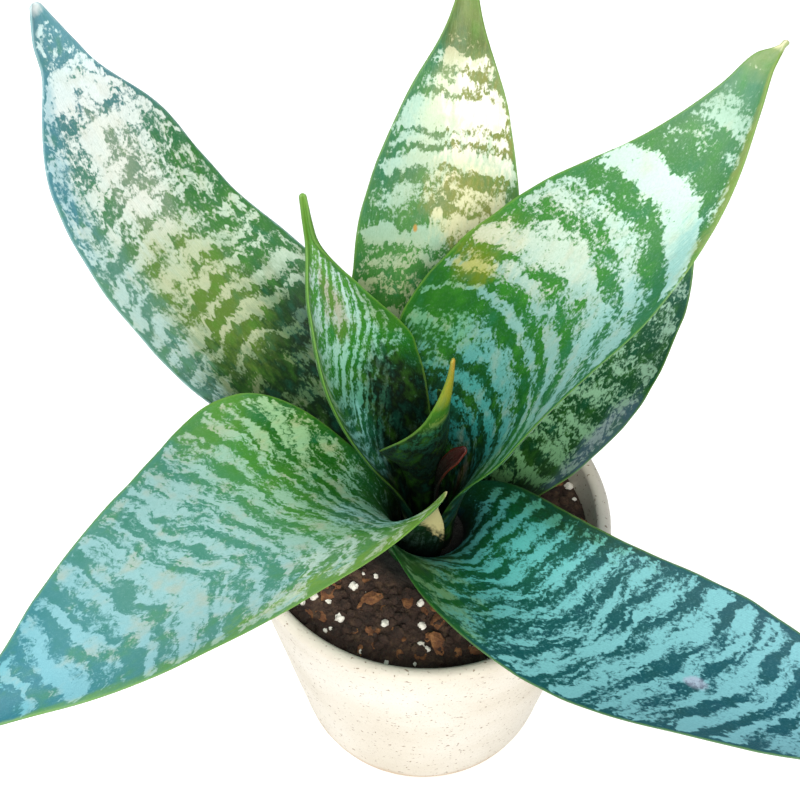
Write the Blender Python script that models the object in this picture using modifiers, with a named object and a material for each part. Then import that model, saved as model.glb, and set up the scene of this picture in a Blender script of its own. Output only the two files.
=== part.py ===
"""Potted bird's-nest snake plant at its real size.

Metres, +Z up. The origin is the middle of the pot's underside, +X is to the right of the
plant's front and +Y is away from it. Each leaf grows from its own ring of the short rhizome,
the newest innermost, so the leaf bases sheathe one another like nested half pipes.
"""
import math

import bmesh
import bpy
import numpy as np

MM = 0.001

# Pot: a plain tapered pot with a rounded lip and drain holes in its floor
POT_HEIGHT = 88 * MM
POT_LIP_RADIUS = 50 * MM
POT_FOOT_RADIUS = 36 * MM
POT_WALL = 4 * MM
POT_FLOOR = 5 * MM
POT_FOOT_ROUND = 2.5 * MM
DRAIN_HOLES = 4
DRAIN_RADIUS = 4 * MM
DRAIN_RING = 21 * MM

# Soil
SOIL_LEVEL = 80 * MM
SOIL_HOLE_RADIUS = 20.4 * MM
SOIL_SINK_AT_WALL = 2 * MM
SOIL_LUMPS = 2.4 * MM
SOIL_LUMP_SIZE = 0.016

# Rhizome: the stout underground stem, its top a low cone that the leaf rings stand on
RHIZOME_RADIUS = 20 * MM
RHIZOME_DEPTH = 34 * MM
RHIZOME_END_RADIUS = 11 * MM

# Leaf rings, counted outwards from the newest leaf
FIRST_RING = 2.3 * MM
RING_STEP = 2.2 * MM
RING_DROP = 1.0 * MM
TOP_RING_HEIGHT = 1.0 * MM
LEAF_MARGIN = 0.7 * MM
FIT_GAP = 0.3 * MM

TURNED_STEPS = 48
RHIZOME_STEPS = 32
LEAF_ROWS = 26
LEAF_COLUMNS = 9

# Stations along a leaf, as shares of its length, for the values in LEAVES
HEADING_AT = (0, 0.5, 1)
PITCH_AT = (0, 0.2, 0.45, 0.72, 1)
ROLL_AT = (0, 0.35, 0.7, 1)
CUP_AT = (0, 0.22, 0.5, 0.8, 1)
WIDTH_AT = (0, 0.15, 0.35, 0.55, 0.75, 0.9, 1)
THICK_AT = (0, 0.4, 0.85, 1)
PLAIN_THICKNESS = (1.8, 2.0, 1.3, 0.9)
LOPSIDED_AT = (0, 0.12, 0.5, 1)
BASE_CROWDING = 1.15  # above 1, rows stand closer together at the base, where a leaf bends most
BELLY = 2.2  # how far towards the margins a leaf keeps its thickness
MIDRIB_STEPS = 200

# Degrees and millimetres. heading is the way a leaf points, from +X towards +Y; pitch is its
# rise above level; roll turns the blade about its midrib; cup is half the angle that its cross
# section bends through; lopsided is how much wider the right-hand half is, seen from the tip.
LEAVES = [
    {
        "name": "leaf_newest", "ring": 0, "length": 84, "lopsided": -0.06,
        "heading": (-72, -60, -40), "pitch": (93, 89, 79, 81, 89), "roll": (0, 7, 25, 21),
        "cup": (115, 84, 58, 58), "half_width": (4, 6, 9.5, 15.5, 6, 2, 0.8),
        "thickness": (1.3, 1.4, 1.1, 0.9),
    },
    {
        "name": "leaf_young_curled", "ring": 1, "length": 108, "lopsided": 0,
        "heading": (150, 143, 105), "pitch": (91, 69, 67, 67, 68), "roll": (0, -9, -2, 1),
        "cup": (88, 67, 70, 81), "half_width": (9.5, 9.5, 15.5, 18.5, 10, 1.2, 0.8),
    },
    {
        "name": "leaf_top_right", "ring": 2, "length": 164, "lopsided": 0.04,
        "heading": (32, 20, 48), "pitch": (89, 72, 55, 44, 41), "roll": (0, 5, 11, 1),
        "cup": (76, 54, 36, 37), "half_width": (14.5, 17.5, 32, 28, 16, 6.5, 0.8),
    },
    {
        "name": "leaf_low_left", "ring": 3, "length": 160, "lopsided": 0.03,
        "heading": (216, 229, 215), "pitch": (90, 48, 29, 10, -9), "roll": (0, 8, -2, -5),
        "cup": (79, 44, 30, 24), "half_width": (12, 18.5, 40, 29.5, 19, 8, 0.8),
    },
    {
        "name": "leaf_low_right", "ring": 4, "length": 166, "lopsided": -0.1,
        "heading": (-56, -45, -35), "pitch": (83, 24, 26, 22, 11), "roll": (0, 8, -5, -19),
        "cup": (49, 23, 27, 35), "half_width": (22, 24.5, 23.5, 23, 17, 7, 0.8),
    },
    {
        "name": "leaf_top_back", "ring": 5, "length": 150, "lopsided": 0.04,
        "heading": (89, 80, 83), "pitch": (89, 68, 60, 53, 47), "roll": (0, -8, -1, 4),
        "cup": (48, 37, 31, 31), "half_width": (17.5, 19, 22.5, 22, 14.5, 4.5, 0.8),
    },
    {
        "name": "leaf_top_left", "ring": 6, "length": 167, "lopsided": 0.08,
        "heading": (141, 148, 127), "pitch": (88, 39, 39, 55, 59), "roll": (0, 0, 2, 10),
        "cup": (60, 20, 8, 24), "half_width": (16, 22, 30, 26.5, 21, 7.5, 0.8),
    },
    {
        "name": "leaf_back_right", "ring": 7, "length": 108, "lopsided": 0,
        "heading": (29, 40, 44), "pitch": (88, 53, 45, 38, 30), "roll": (0, 3, -1, -1),
        "cup": (50, 30, 29, 32), "half_width": (18, 17.5, 23, 24.5, 19, 8, 0.8),
    },
    {
        "name": "scale_leaf", "ring": 1, "length": 49, "lopsided": 0, "finish": "red",
        "heading": (-61, -42, -9), "pitch": (87, 87, 90, 75, 51), "roll": (0, 40, 48, 40),
        "cup": (40, 45, 40, 30), "half_width": (1.3, 1.3, 1.3, 1.4, 1.9, 2.0, 0.8),
        "thickness": (0.9, 0.9, 0.9, 0.8), "rows": 14, "columns": 5,
    },
]

# Colour and roughness of each finish
COLOURS = {
    "leaf": ((0.055, 0.22, 0.06, 1), 0.38),
    "red": ((0.16, 0.012, 0.01, 1), 0.5),
    "pot": ((0.80, 0.77, 0.71, 1), 0.55),
    "soil": ((0.055, 0.032, 0.018, 1), 0.95),
    "rhizome": ((0.42, 0.24, 0.10, 1), 0.7),
}


def clear_scene():
    for thing in list(bpy.data.objects):
        bpy.data.objects.remove(thing)


def new_collection(name, cutters=False):
    group = bpy.data.collections.new(name)
    bpy.context.scene.collection.children.link(group)
    group.hide_render = cutters
    return group


def material(name, finish):
    colour, roughness = COLOURS[finish]
    mat = bpy.data.materials.new(name)
    mat.use_nodes = True
    shader = mat.node_tree.nodes["Principled BSDF"]
    shader.inputs["Base Color"].default_value = colour
    shader.inputs["Roughness"].default_value = roughness
    shader.inputs["Metallic"].default_value = 0
    mat.diffuse_color = colour
    return mat


def add_object(name, mesh, group, finish):
    thing = bpy.data.objects.new(name, mesh)
    mesh.materials.append(material(name + "_finish", finish))
    group.objects.link(thing)
    return thing


def turned(name, profile, group, finish, steps=TURNED_STEPS):
    """A closed profile of (radius, height) points, up the inside and down the outside, spun."""
    mesh = bpy.data.meshes.new(name)
    points = [(radius, 0, height) for radius, height in profile]
    edges = [(i, i + 1) for i in range(len(points) - 1)]
    mesh.from_pydata(points, edges, [])
    thing = add_object(name, mesh, group, finish)
    screw = thing.modifiers.new("Turn", "SCREW")
    screw.steps = steps
    screw.render_steps = steps
    screw.use_merge_vertices = True
    screw.merge_threshold = 0.00001
    screw.use_smooth_shade = True
    return thing


def arc(centre_radius, centre_height, radius, start, end, pieces):
    """Points of a round corner, angles in degrees from outwards towards up."""
    angles = [math.radians(start + (end - start) * i / pieces) for i in range(pieces + 1)]
    return [(centre_radius + radius * math.cos(a), centre_height + radius * math.sin(a)) for a in angles]


def pot_radius(height):
    """Outer radius of the tapered wall at a height."""
    return POT_FOOT_RADIUS + (POT_LIP_RADIUS - POT_FOOT_RADIUS) * height / POT_HEIGHT


def make_pot(group, cutters):
    lip = POT_WALL / 2
    inside_foot = pot_radius(POT_FLOOR) - POT_WALL
    profile = [(0, POT_FLOOR), (inside_foot, POT_FLOOR)]
    profile += arc(POT_LIP_RADIUS - lip, POT_HEIGHT - lip, lip, 180, 0, 6)
    profile += arc(POT_FOOT_RADIUS - POT_FOOT_ROUND, POT_FOOT_ROUND, POT_FOOT_ROUND, 0, -90, 3)
    profile += [(0, 0)]
    pot = turned("pot", profile, group, "pot")
    drill = bpy.data.meshes.new("drain_cutter")
    shape = bmesh.new()
    size = {"radius1": DRAIN_RADIUS, "radius2": DRAIN_RADIUS, "depth": 4 * POT_FLOOR}
    bmesh.ops.create_cone(shape, cap_ends=True, segments=16, **size)
    shape.to_mesh(drill)
    shape.free()
    for i in range(DRAIN_HOLES):
        angle = 2 * math.pi * (i + 0.5) / DRAIN_HOLES
        cutter = bpy.data.objects.new(f"drain_cutter_{i + 1}", drill)
        cutter.location = (DRAIN_RING * math.cos(angle), DRAIN_RING * math.sin(angle), 0)
        cutter.hide_render = True
        cutter.display_type = "WIRE"
        cutters.objects.link(cutter)
        cut = pot.modifiers.new(f"Drain hole {i + 1}", "BOOLEAN")
        cut.operation = "DIFFERENCE"
        cut.solver = "EXACT"
        cut.object = cutter
    return pot


def rhizome_top(radius):
    """Height of the cone that carries the leaf rings: just under each ring's inner edge."""
    slope = RING_DROP / RING_STEP
    return SOIL_LEVEL + TOP_RING_HEIGHT - FIT_GAP - slope * (radius - FIRST_RING + MM)


def make_rhizome(group):
    shoulder = rhizome_top(RHIZOME_RADIUS)
    foot = SOIL_LEVEL - RHIZOME_DEPTH
    middle = (shoulder + foot) / 2
    profile = [
        (0, foot),
        (RHIZOME_END_RADIUS, foot + MM),
        (0.85 * RHIZOME_RADIUS, foot + 6 * MM),
        (RHIZOME_RADIUS, middle),
        (RHIZOME_RADIUS, shoulder),
        (0, rhizome_top(0)),
    ]
    return turned("rhizome", profile[::-1], group, "rhizome", RHIZOME_STEPS)


def make_soil(group):
    inner_lip = pot_radius(SOIL_LEVEL) - POT_WALL - FIT_GAP
    inner_foot = pot_radius(POT_FLOOR) - POT_WALL - FIT_GAP
    hole_floor = SOIL_LEVEL - RHIZOME_DEPTH - FIT_GAP
    edge = SOIL_LEVEL - SOIL_SINK_AT_WALL
    profile = [(0, hole_floor), (SOIL_HOLE_RADIUS, hole_floor), (SOIL_HOLE_RADIUS, SOIL_LEVEL - MM)]
    rings = 7
    for i in range(1, rings + 1):
        share = i / rings
        radius = SOIL_HOLE_RADIUS + (inner_lip - 2 * MM - SOIL_HOLE_RADIUS) * share
        profile.append((radius, SOIL_LEVEL - SOIL_SINK_AT_WALL * share**2))
    first_top, last_top = 2, len(profile) - 1
    profile += [(inner_lip - 0.5 * MM, edge - 1.5 * MM), (inner_foot, POT_FLOOR + FIT_GAP)]
    profile += [(0, POT_FLOOR + FIT_GAP)]
    soil = turned("soil", profile, group, "soil")
    top = soil.vertex_groups.new(name="Top")
    top.add(list(range(first_top, last_top + 1)), 1.0, "REPLACE")
    clouds = bpy.data.textures.new("Soil lumps", "CLOUDS")
    clouds.noise_scale = SOIL_LUMP_SIZE
    lumps = soil.modifiers.new("Lumps", "DISPLACE")
    lumps.texture = clouds
    lumps.direction = "Z"
    lumps.strength = SOIL_LUMPS
    lumps.mid_level = 0.5
    lumps.vertex_group = "Top"
    return soil


def smooth(stations, values, where):
    """A curve through the values at the stations that never overshoots (monotone cubic)."""
    x = np.array(stations, float)
    y = np.array(values, float)
    step = np.diff(x)
    slope = np.diff(y) / step
    before, after = slope[:-1], slope[1:]
    turning = before * after <= 0
    before, after = np.where(turning, 1, before), np.where(turning, 1, after)
    weight_before = 2 * step[1:] + step[:-1]
    weight_after = step[1:] + 2 * step[:-1]
    blended = (weight_before + weight_after) / (weight_before / after + weight_after / before)
    tangent = np.concatenate([slope[:1], np.where(turning, 0, blended), slope[-1:]])
    k = np.clip(np.searchsorted(x, where) - 1, 0, len(step) - 1)
    t = (where - x[k]) / step[k]
    ends = y[k] * (1 + 2 * t) * (1 - t) ** 2 + y[k + 1] * t**2 * (3 - 2 * t)
    return ends + step[k] * (tangent[k] * t * (1 - t) ** 2 - tangent[k + 1] * t**2 * (1 - t))


def leaf_points(leaf, along, across):
    """Points of a leaf's middle surface, along in 0..1 from base to tip, across in -1..1.

    The midrib is the running sum of its direction. At each station the cross section is a
    circular arc that bends through twice the cup angle, hollow on the plant's inner side. At
    the base the arc lies on the leaf's own ring of the rhizome.
    """
    fine = np.linspace(0, 1, MIDRIB_STEPS + 1)
    heading = np.radians(smooth(HEADING_AT, leaf["heading"], fine))
    pitch = np.radians(smooth(PITCH_AT, leaf["pitch"], fine))
    roll = np.radians(smooth(ROLL_AT, leaf["roll"], fine))
    level = np.cos(pitch)
    forward = np.stack([level * np.cos(heading), level * np.sin(heading), np.sin(pitch)], -1)
    ring = FIRST_RING + RING_STEP * leaf["ring"]
    height = SOIL_LEVEL + TOP_RING_HEIGHT - RING_DROP * leaf["ring"]
    base = np.array([ring * math.cos(heading[0]), ring * math.sin(heading[0]), height])
    steps = (forward[1:] + forward[:-1]) / 2 * leaf["length"] * MM / MIDRIB_STEPS
    midrib = np.vstack([base, base + np.cumsum(steps, axis=0)])
    side = np.stack([-np.sin(heading), np.cos(heading), 0 * heading], -1)
    inward = np.cross(forward, side)
    side = side * np.cos(roll)[:, None] + inward * np.sin(roll)[:, None]
    inward = np.cross(forward, side)

    def at(curve):
        return np.stack([np.interp(along, fine, curve[:, axis]) for axis in range(3)], -1)

    width = smooth(WIDTH_AT, leaf["half_width"], along) * MM
    base_cup = math.degrees(leaf["half_width"][0] * MM / ring)
    cup = np.radians(smooth(CUP_AT, (base_cup,) + leaf["cup"], along))
    uneven = leaf["lopsided"]
    extra = smooth(LOPSIDED_AT, (0, uneven, uneven / 2, 0), along)
    bend = cup * across * (1 + extra * np.sign(across))
    radius = width / cup
    sideways = (radius * np.sin(bend))[:, None] * at(side)
    rise = (radius * (1 - np.cos(bend)))[:, None] * at(inward)
    return at(midrib) + sideways + rise


def make_leaf(leaf, group):
    shape = bmesh.new()
    columns, rows = leaf.get("columns", LEAF_COLUMNS), leaf.get("rows", LEAF_ROWS)
    bmesh.ops.create_grid(shape, x_segments=columns - 1, y_segments=rows - 1, size=1)
    mesh = bpy.data.meshes.new(leaf["name"])
    shape.to_mesh(mesh)
    shape.free()
    grid = np.empty(len(mesh.vertices) * 3)
    mesh.vertices.foreach_get("co", grid)
    grid = grid.reshape(-1, 3)
    along = ((grid[:, 1] + 1) / 2) ** BASE_CROWDING
    across = grid[:, 0]
    mesh.vertices.foreach_set("co", leaf_points(leaf, along, across).ravel())
    mesh.update()
    blade = add_object(leaf["name"], mesh, group, leaf.get("finish", "leaf"))
    mesh.shade_smooth()

    thickness = leaf.get("thickness", PLAIN_THICKNESS)
    middle = smooth(THICK_AT, thickness, along) * MM
    local = LEAF_MARGIN + (middle - LEAF_MARGIN) * (1 - np.abs(across) ** BELLY)
    thickest = float(local.max())
    weights = blade.vertex_groups.new(name="Thickness")
    for i, value in enumerate(local):
        weights.add([i], float(value) / thickest, "REPLACE")
    split = blade.modifiers.new("Split quads", "TRIANGULATE")
    split.quad_method = "FIXED"
    wall = blade.modifiers.new("Leaf wall", "SOLIDIFY")
    wall.thickness = thickest
    wall.offset = 0
    wall.vertex_group = "Thickness"
    wall.thickness_vertex_group = 0
    return blade


def main():
    clear_scene()
    plant = new_collection("Potted snake plant")
    cutters = new_collection("Cutters", cutters=True)
    make_pot(plant, cutters)
    make_soil(plant)
    make_rhizome(plant)
    for leaf in LEAVES:
        make_leaf(leaf, plant)


main()
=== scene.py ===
import math
import bmesh
import bpy
import numpy as np
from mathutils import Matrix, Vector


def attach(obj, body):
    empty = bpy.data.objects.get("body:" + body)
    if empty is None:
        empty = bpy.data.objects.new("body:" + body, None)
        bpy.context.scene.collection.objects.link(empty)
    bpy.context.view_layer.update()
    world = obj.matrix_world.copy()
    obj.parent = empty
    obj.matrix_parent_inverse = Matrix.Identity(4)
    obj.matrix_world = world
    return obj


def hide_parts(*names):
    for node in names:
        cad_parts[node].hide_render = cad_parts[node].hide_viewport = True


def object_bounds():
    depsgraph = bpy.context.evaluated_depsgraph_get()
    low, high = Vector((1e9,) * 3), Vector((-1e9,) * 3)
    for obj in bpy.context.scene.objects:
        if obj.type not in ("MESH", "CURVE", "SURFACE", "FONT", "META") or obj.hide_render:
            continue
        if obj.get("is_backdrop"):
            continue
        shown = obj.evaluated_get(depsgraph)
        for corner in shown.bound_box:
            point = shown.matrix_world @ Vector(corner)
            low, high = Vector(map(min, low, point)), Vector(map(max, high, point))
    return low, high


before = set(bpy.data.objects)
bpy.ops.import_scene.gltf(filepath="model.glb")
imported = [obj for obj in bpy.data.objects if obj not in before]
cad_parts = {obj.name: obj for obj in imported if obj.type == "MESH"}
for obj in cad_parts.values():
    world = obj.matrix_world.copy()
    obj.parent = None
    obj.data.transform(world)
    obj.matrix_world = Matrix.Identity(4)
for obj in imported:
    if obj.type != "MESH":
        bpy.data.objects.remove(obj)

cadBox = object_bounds()
mm = 0.001
soilLevel = 80 * mm     # height of the soil's surface, where the leaf rings start
print("frame loaded:", len(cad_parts), "nodes")


# Curves and noise used by every piece

def easeThrough(stations, values, where):
    # smooth curve through the values at the stations, never past them (monotone cubic)
    x, y = np.array(stations, float), np.array(values, float)
    step = np.diff(x)
    slope = np.diff(y) / step
    before, after = slope[:-1], slope[1:]
    turning = before * after <= 0
    before, after = np.where(turning, 1, before), np.where(turning, 1, after)
    weightBefore, weightAfter = 2 * step[1:] + step[:-1], step[1:] + 2 * step[:-1]
    blended = (weightBefore + weightAfter) / (weightBefore / after + weightAfter / before)
    tangent = np.concatenate([slope[:1], np.where(turning, 0, blended), slope[-1:]])
    k = np.clip(np.searchsorted(x, where) - 1, 0, len(step) - 1)
    t = (where - x[k]) / step[k]
    ends = y[k] * (1 + 2 * t) * (1 - t) ** 2 + y[k + 1] * t**2 * (3 - 2 * t)
    return ends + step[k] * (tangent[k] * t * (1 - t) ** 2 - tangent[k + 1] * t**2 * (1 - t))


def fade(x, low, high):
    # 0 below low, 1 above high, an eased step between
    t = np.clip((x - low) / (high - low), 0, 1)
    return t * t * (3 - 2 * t)


def unevenLine(x, seed, waves=7, first=1.0):
    # a wandering line round zero: sines of rising frequency and falling height, phases drawn from the seed
    draw = np.random.default_rng(seed)
    number = first + np.arange(waves)
    phase = draw.uniform(0, 2 * np.pi, waves)
    size = draw.uniform(0.5, 1, waves) / number
    return (size * np.sin(2 * np.pi * number * np.asarray(x)[..., None] + phase)).sum(-1)


def lumpField(x, y, size, seed):
    # smooth random heights round zero over a plane: grid values blended by an eased step in each cell
    draw = np.random.default_rng(seed)
    table = draw.uniform(-1, 1, (64, 64))
    gx, gy = np.asarray(x) / size + 31.7, np.asarray(y) / size + 17.3
    ix, iy = np.floor(gx).astype(int), np.floor(gy).astype(int)
    tx, ty = fade(gx - ix, 0, 1), fade(gy - iy, 0, 1)
    a, b = table[ix % 64, iy % 64], table[(ix + 1) % 64, iy % 64]
    c, d = table[ix % 64, (iy + 1) % 64], table[(ix + 1) % 64, (iy + 1) % 64]
    return (a * (1 - tx) + b * tx) * (1 - ty) + (c * (1 - tx) + d * tx) * ty


# Meshes from grids

def skinOverGrid(name, points, marks={}):
    # rows of points whose columns run round and join up; one more point closes each end, faces look outwards
    rows, columns = points.shape[:2]
    index = np.arange(rows * columns).reshape(rows, columns)
    beside = np.roll(index, -1, axis=1)
    quads = np.stack([index[:-1], beside[:-1], beside[1:], index[1:]], -1).reshape(-1, 4)
    firstPole, lastPole = rows * columns, rows * columns + 1
    firstCap = np.stack([np.full(columns, firstPole), beside[0], index[0]], -1)
    lastCap = np.stack([np.full(columns, lastPole), index[-1], beside[-1]], -1)
    flat = np.vstack([points.reshape(-1, 3), points[0].mean(0), points[-1].mean(0)])
    corners = flat[quads]
    volume = np.einsum("ij,ij->i", corners[:, 0], np.cross(corners[:, 1], corners[:, 2])).sum()
    volume += np.einsum("ij,ij->i", corners[:, 0], np.cross(corners[:, 2], corners[:, 3])).sum()
    faces = quads.tolist() + firstCap.tolist() + lastCap.tolist()
    if volume < 0:
        faces = [face[::-1] for face in faces]
    mesh = bpy.data.meshes.new(name)
    mesh.from_pydata(flat.tolist(), [], faces)
    for mark, values in marks.items():
        full = np.vstack([values.reshape(-1, 3), values[0].mean(0), values[-1].mean(0)])
        layer = mesh.attributes.new(mark, "FLOAT_VECTOR", "POINT")
        layer.data.foreach_set("vector", full.astype(np.float32).ravel())
    mesh.shade_smooth()
    return mesh


def addPiece(mesh, material, slotName, *standsFor):
    piece = bpy.data.objects.new(mesh.name, mesh)
    bpy.context.scene.collection.objects.link(piece)
    mesh.materials.append(material)
    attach(piece, "root")
    if standsFor:
        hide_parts(*standsFor)
    return piece


# Shader maths: a Wire is a socket, and an expression on wires adds its Math nodes

class Wire:
    def __init__(self, paint, socket):
        self.paint, self.socket = paint, socket

    def sum(self, how, first, second):
        return self.paint.add("ShaderNodeMath", {"operation": how}, {0: first, 1: second})

    def __add__(self, other):
        return self.sum("ADD", self, other)

    def __radd__(self, other):
        return self.sum("ADD", other, self)

    def __sub__(self, other):
        return self.sum("SUBTRACT", self, other)

    def __rsub__(self, other):
        return self.sum("SUBTRACT", other, self)

    def __mul__(self, other):
        return self.sum("MULTIPLY", self, other)

    def __rmul__(self, other):
        return self.sum("MULTIPLY", other, self)

    def __truediv__(self, other):
        return self.sum("DIVIDE", self, other)

    def __rtruediv__(self, other):
        return self.sum("DIVIDE", other, self)


def tint(code, dim=1.0):
    # linear colour of a hex code as a paint program shows it, dimmed
    shares = [int(code[i:i + 2], 16) / 255 for i in (1, 3, 5)]
    return tuple(dim * (s / 12.92 if s <= 0.04045 else ((s + 0.055) / 1.055) ** 2.4) for s in shares) + (1,)


class Paint:
    def __init__(self, name, **fixed):
        self.material = bpy.data.materials.new(name)
        self.material.use_nodes = True
        self.tree = self.material.node_tree
        self.shader = self.tree.nodes["Principled BSDF"]
        for socket, value in fixed.items():
            self.shader.inputs[socket.replace("_", " ")].default_value = value

    def feed(self, socket, value):
        if isinstance(value, Wire):
            self.tree.links.new(value.socket, socket)
        else:
            socket.default_value = value

    def add(self, kind, settings, sockets, out=0):
        node = self.tree.nodes.new(kind)
        for key, value in settings.items():
            if key == "stops":
                ramp = node.color_ramp
                while len(ramp.elements) < len(value):
                    ramp.elements.new(1)
                for element, (place, colour) in zip(ramp.elements, value):
                    element.position, element.color = place, colour
            else:
                setattr(node, key, value)
        for key, value in sockets.items():
            self.feed(node.inputs[key], value)
        return Wire(self, node.outputs[out])

    def finish(self, **sockets):
        for socket, value in sockets.items():
            self.feed(self.shader.inputs[socket.replace("_", " ")], value)
        return self.material

    def attribute(self, name):
        return self.add("ShaderNodeAttribute", {"attribute_name": name}, {}, 1)

    def split(self, vector):
        node = self.add("ShaderNodeSeparateXYZ", {}, {0: vector}).socket.node
        return [Wire(self, socket) for socket in node.outputs]

    def vector(self, x, y, z):
        return self.add("ShaderNodeCombineXYZ", {}, {0: x, 1: y, 2: z})

    def noise(self, where, detail=2.0, rough=0.5):
        # Perlin noise round zero
        sockets = {"Vector": where, "Scale": 1.0, "Detail": detail, "Roughness": rough}
        return self.add("ShaderNodeTexNoise", {}, sockets) - 0.5

    def step(self, x, low, high):
        # 0 below low, 1 above high, eased between
        settings = {"interpolation_type": "SMOOTHSTEP"}
        return self.add("ShaderNodeMapRange", settings, {0: x, 1: low, 2: high, 3: 0.0, 4: 1.0})

    def curve(self, x, points):
        # a number that follows the points (place, value) over x in 0..1
        low, high = min(v for p, v in points), max(v for p, v in points)
        span = max(high - low, 1e-6)
        stops = [(p, ((v - low) / span,) * 3 + (1,)) for p, v in points]
        return self.add("ShaderNodeValToRGB", {"stops": stops}, {0: x}) * span + low

    def colours(self, x, points, dim=1.0):
        # a colour that follows the points (place, hex code) over x in 0..1
        stops = [(p, tint(code, dim)) for p, code in points]
        return self.add("ShaderNodeValToRGB", {"stops": stops}, {0: x})

    def mix(self, share, under, over):
        return self.add("ShaderNodeMix", {"data_type": "RGBA"}, {0: share, 6: under, 7: over}, 2)

    def objectPlace(self):
        return self.add("ShaderNodeTexCoord", {}, {}, 3)

    def grain(self, where, fineness, detail, rough=0.5):
        # noise over a place in metres, with lumps about 1 / fineness metres wide
        spot = self.add("ShaderNodeVectorMath", {"operation": "SCALE"}, {0: where, 3: fineness})
        return self.noise(spot, detail, rough)

    def relief(self, height, depth, strength=1.0):
        sockets = {"Strength": strength, "Distance": depth, "Height": height}
        return self.add("ShaderNodeBump", {}, sockets)


# Camera and light

view = {"place": (-0.00686, -0.2463, 0.4529), "tilt": 38, "lens": 73.47}
camera = bpy.data.objects.new("camera", bpy.data.cameras.new("camera"))
camera.location = view["place"]
camera.rotation_euler = (math.radians(view["tilt"]), 0, 0)
camera.data.lens = view["lens"]
camera.data.sensor_width = 36
camera.data.clip_start, camera.data.clip_end = 0.01, 20
bpy.context.scene.collection.objects.link(camera)
bpy.context.scene.camera = camera

studio = {
    "skyColour": "#f2f6fa", "skyStrength": 0.38, "floorColour": "#fafafa", "floorHalf": 3.0,
    "lamps": [
        # name, place, aimed at, width, watts, colour
        ("window", (-0.6, 0.15, 1.15), (0, 0, 0.12), 0.7, 12, "#ffffff"),
        ("front", (0.1, -0.95, 0.95), (0, 0, 0.1), 0.8, 22, "#fffaf2"),
        ("sky", (0.1, 0.1, 1.6), (0, 0, 0.1), 1.2, 8, "#eef6ff"),
    ],
}


def makeStudio():
    world = bpy.data.worlds.new("studio")
    bpy.context.scene.world = world
    world.use_nodes = True
    backdrop = world.node_tree.nodes["Background"]
    backdrop.inputs["Color"].default_value = tint(studio["skyColour"])
    backdrop.inputs["Strength"].default_value = studio["skyStrength"]
    for name, place, aim, width, watts, colour in studio["lamps"]:
        lamp = bpy.data.lights.new(name, "AREA")
        lamp.shape, lamp.size, lamp.energy = "DISK", width, watts
        lamp.color = tint(colour)[:3]
        holder = bpy.data.objects.new(name, lamp)
        x, y, z = (a - p for a, p in zip(aim, place))
        holder.location = place
        holder.rotation_euler = (math.atan2(math.hypot(x, y), -z), 0, math.atan2(y, x) - math.pi / 2)
        bpy.context.scene.collection.objects.link(holder)
    half = studio["floorHalf"]
    mesh = bpy.data.meshes.new("floor")
    corners = [(-half, -half, 0), (half, -half, 0), (half, half, 0), (-half, half, 0)]
    mesh.from_pydata(corners, [], [(0, 1, 2, 3)])
    floor = bpy.data.objects.new("floor", mesh)
    bpy.context.scene.collection.objects.link(floor)
    paint = Paint("floor_paper", Roughness=0.9)
    mesh.materials.append(paint.finish(Base_Color=tint(studio["floorColour"])))
    floor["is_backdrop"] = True
    bpy.context.scene.view_settings.view_transform = "Standard"


makeStudio()
print("camera and light set")


# Leaves. Degrees and millimetres, the same driving values as the solids.
# ring: its place from the middle outwards; heading: where it points, from +X towards +Y; pitch: rise above
# level; roll: turn round the midrib; cup: half angle of the section's arc; lopsided: how much wider the half
# on the positive side is; knob: half width of a nub at the tip; sway: the midrib's shift to the plus side;
# plus, minus: small extra widths (along, mm) of the two halves.
# bands: how pale the leaf is at shares of its length; lean: how far the bands rise towards the two margins,
# and leanEnd: the share of the length over which that fades out to the tip. teeth, ripple, streak, speckle
# and blotch: how strongly noise of each size breaks the bands up.
# greens and pales: colours along the leaf, near black at the foot as painted shade of the throat; vein,
# cool and the margin line's colour: colours tinted over them, the margin line on the top-left leaf being a
# painted highlight; blush: how much the veins warm the pale parts; back: how much the outer face is tinted;
# patches: soft spots of other colours, some of them painted light and shade (sunlight, sheen, sky
# reflection), at (across, along), with their reach; fewer: how much less pale it is inside; soft: how far out
# the spot fades; underside and root: the bright spot and the painted shade at the foot of the outer face.

headingAt, pitchAt, rollAt = (0, 0.5, 1), (0, 0.2, 0.45, 0.72, 1), (0, 0.35, 0.7, 1)
cupAt, widthAt, thickAt = (0, 0.22, 0.5, 0.8, 1), (0, 0.15, 0.35, 0.55, 0.75, 0.9, 1), (0, 0.4, 0.85, 1)
leafBuild = {
    "rows": 230, "columns": 88, "thickness": (1.8, 2.0, 1.3, 0.9), "marginThickness": 0.7,
    "firstRing": 2.3, "ringStep": 2.2, "ringDrop": 1.0, "topRing": 1.0, "level": ((0, 0), (0.5, 0), (1, 0)),
    "midribSteps": 400, "capRows": 8, "rowCrowding": 1.1, "knob": 0.8, "knobThickness": 1.8,
    "fullness": 2.2, "marginRound": 24, "raggedness": 0.018, "wave": 0.5,
}

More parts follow.
